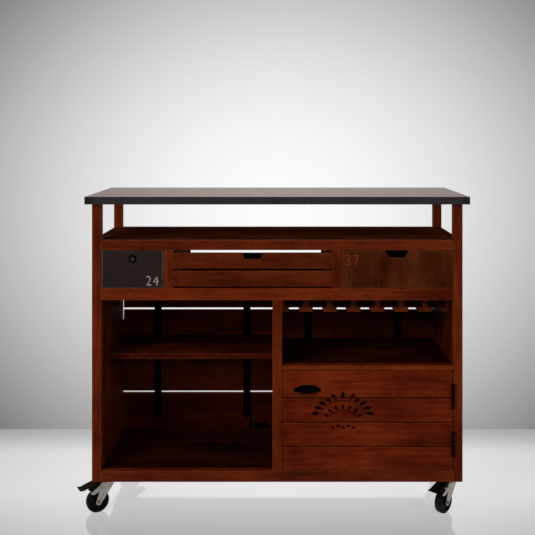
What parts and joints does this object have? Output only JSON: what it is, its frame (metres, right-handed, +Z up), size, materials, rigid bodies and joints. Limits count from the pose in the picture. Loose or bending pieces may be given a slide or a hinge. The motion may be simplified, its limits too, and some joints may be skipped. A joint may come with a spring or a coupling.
{
  "type": "bar cart",
  "caption": "Rolling bar cabinet with a metal-clad counter over an open tier, drawers, open bays, a stemware rack and a plank door, on braked swivel casters.",
  "frame": {"origin": "on the floor under the middle of the counter, at the middle of the whole footprint", "axes": "+X along the counter to the right seen from the front, +Y from the front to the back, +Z up"},
  "size_m": [1.324, 0.4496, 1.05],
  "materials": {
    "frame_wood": "reddish-brown stained and oiled, with worn lighter edges",
    "panel_wood": "darker reddish-brown stained boards",
    "door_wood": "horizontal planks with visible grain, stained and oiled",
    "crate_wood": "rough crate planks, stained",
    "drawer_wood": "dark vertical grain with a faded stencil",
    "counter_metal": "aged grey-brown sheet metal with soft reflections",
    "black_iron": "black, slightly worn",
    "drawer_steel": "anthracite sheet with bare lighter edges",
    "lock_metal": "dull nickel",
    "caster_zinc": "bright zinc-plated sheet steel",
    "wheel_rubber": "black, satin"
  },
  "bodies": {
    "cabinet": {"counter_top_core": "panel_wood", "counter_top_cladding": "counter_metal", "post_front_left": "frame_wood", "post_front_right": "frame_wood", "post_rear_left": "frame_wood", "post_rear_right": "frame_wood", "front_upper_rail": "frame_wood", "front_middle_rail": "frame_wood", "front_bottom_rail": "frame_wood", "rear_upper_rail": "frame_wood", "left_side_panel": "panel_wood", "right_side_panel": "panel_wood", "caster_bearer_left": "panel_wood", "caster_bearer_right": "panel_wood", "tier_shelf": "panel_wood", "floor_panel": "panel_wood", "drawer_deck": "panel_wood", "back_board_lower": "panel_wood", "back_board_middle": "panel_wood", "back_board_upper": "panel_wood", "centre_partition": "panel_wood", "drawer_divider_left": "panel_wood", "drawer_divider_right": "panel_wood", "left_shelf": "panel_wood", "right_shelf": "panel_wood", "glass_rack": "panel_wood", "upper_hinge_frame_leaf": "black_iron", "lower_hinge_frame_leaf": "black_iron", "caster_front_left_plate": "caster_zinc", "caster_front_right_plate": "caster_zinc", "caster_rear_left_plate": "caster_zinc", "caster_rear_right_plate": "caster_zinc"},
    "door": {"door_plank_1": "door_wood", "door_plank_2": "door_wood", "door_plank_3": "door_wood", "door_plank_4": "door_wood", "door_brace": "door_wood", "upper_hinge_door_leaf": "black_iron", "lower_hinge_door_leaf": "black_iron", "cup_pull": "black_iron"},
    "metal_drawer": {"metal_drawer_box": "drawer_steel", "lock_housing": "lock_metal"},
    "lock": {"lock_cylinder": "lock_metal"},
    "crate_drawer": {"crate_front_plank_lower": "crate_wood", "crate_front_plank_upper": "crate_wood", "crate_tray": "crate_wood"},
    "plank_drawer": {"plank_drawer_front": "drawer_wood", "plank_drawer_tray": "drawer_wood"},
    "front_left_fork": {"caster_front_left_fork": "caster_zinc"},
    "front_left_wheel": {"caster_front_left_wheel": "wheel_rubber"},
    "front_left_pedal": {"caster_front_left_brake_pedal": "black_iron"},
    "front_right_fork": {"caster_front_right_fork": "caster_zinc"},
    "front_right_wheel": {"caster_front_right_wheel": "wheel_rubber"},
    "front_right_pedal": {"caster_front_right_brake_pedal": "black_iron"},
    "rear_left_fork": {"caster_rear_left_fork": "caster_zinc"},
    "rear_left_wheel": {"caster_rear_left_wheel": "wheel_rubber"},
    "rear_left_pedal": {"caster_rear_left_brake_pedal": "black_iron"},
    "rear_right_fork": {"caster_rear_right_fork": "caster_zinc"},
    "rear_right_wheel": {"caster_rear_right_wheel": "wheel_rubber"},
    "rear_right_pedal": {"caster_rear_right_brake_pedal": "black_iron"}
  },
  "joints": [
    {"name": "door_hinge", "type": "hinge", "parent": "cabinet", "child": "door", "pos_m": [0.57825, -0.1955, 0.314], "axis": [0, 0, 1], "range_deg": [0, 170]},
    {"name": "metal_drawer_slide", "type": "slide", "parent": "cabinet", "child": "metal_drawer", "axis": [0, -1, 0], "range_m": [0, 0.25]},
    {"name": "lock_turn", "type": "hinge", "parent": "metal_drawer", "child": "lock", "pos_m": [-0.4765, -0.19, 0.8435], "axis": [0, -1, 0], "range_deg": [0, 90]},
    {"name": "crate_drawer_slide", "type": "slide", "parent": "cabinet", "child": "crate_drawer", "axis": [0, -1, 0], "range_m": [0, 0.25]},
    {"name": "plank_drawer_slide", "type": "slide", "parent": "cabinet", "child": "plank_drawer", "axis": [0, -1, 0], "range_m": [0, 0.25]},
    {"name": "front_left_swivel", "type": "hinge", "parent": "cabinet", "child": "front_left_fork", "pos_m": [-0.572, -0.146, 0.1], "axis": [0, 0, 1], "continuous": true},
    {"name": "front_left_roll", "type": "hinge", "parent": "front_left_fork", "child": "front_left_wheel", "pos_m": [-0.59798, -0.161, 0.0375], "axis": [0.5, -0.866, 0], "continuous": true},
    {"name": "front_left_brake", "type": "hinge", "parent": "front_left_fork", "child": "front_left_pedal", "pos_m": [-0.59105, -0.157, 0.086], "axis": [0.5, -0.866, 0], "range_deg": [0, 12]},
    {"name": "front_right_swivel", "type": "hinge", "parent": "cabinet", "child": "front_right_fork", "pos_m": [0.572, -0.146, 0.1], "axis": [0, 0, 1], "continuous": true},
    {"name": "front_right_roll", "type": "hinge", "parent": "front_right_fork", "child": "front_right_wheel", "pos_m": [0.55079, -0.16721, 0.0375], "axis": [0.7071, -0.7071, 0], "continuous": true},
    {"name": "front_right_brake", "type": "hinge", "parent": "front_right_fork", "child": "front_right_pedal", "pos_m": [0.55644, -0.16156, 0.086], "axis": [0.7071, -0.7071, 0], "range_deg": [0, 12]},
    {"name": "rear_left_swivel", "type": "hinge", "parent": "cabinet", "child": "rear_left_fork", "pos_m": [-0.572, 0.146, 0.1], "axis": [0, 0, 1], "continuous": true},
    {"name": "rear_left_roll", "type": "hinge", "parent": "rear_left_fork", "child": "rear_left_wheel", "pos_m": [-0.55079, 0.16721, 0.0375], "axis": [-0.7071, 0.7071, 0], "continuous": true},
    {"name": "rear_left_brake", "type": "hinge", "parent": "rear_left_fork", "child": "rear_left_pedal", "pos_m": [-0.55644, 0.16156, 0.086], "axis": [-0.7071, 0.7071, 0], "range_deg": [0, 12]},
    {"name": "rear_right_swivel", "type": "hinge", "parent": "cabinet", "child": "rear_right_fork", "pos_m": [0.572, 0.146, 0.1], "axis": [0, 0, 1], "continuous": true},
    {"name": "rear_right_roll", "type": "hinge", "parent": "rear_right_fork", "child": "rear_right_wheel", "pos_m": [0.59798, 0.161, 0.0375], "axis": [-0.5, 0.866, 0], "continuous": true},
    {"name": "rear_right_brake", "type": "hinge", "parent": "rear_right_fork", "child": "rear_right_pedal", "pos_m": [0.59105, 0.157, 0.086], "axis": [-0.5, 0.866, 0], "range_deg": [0, 12]}
  ]
}
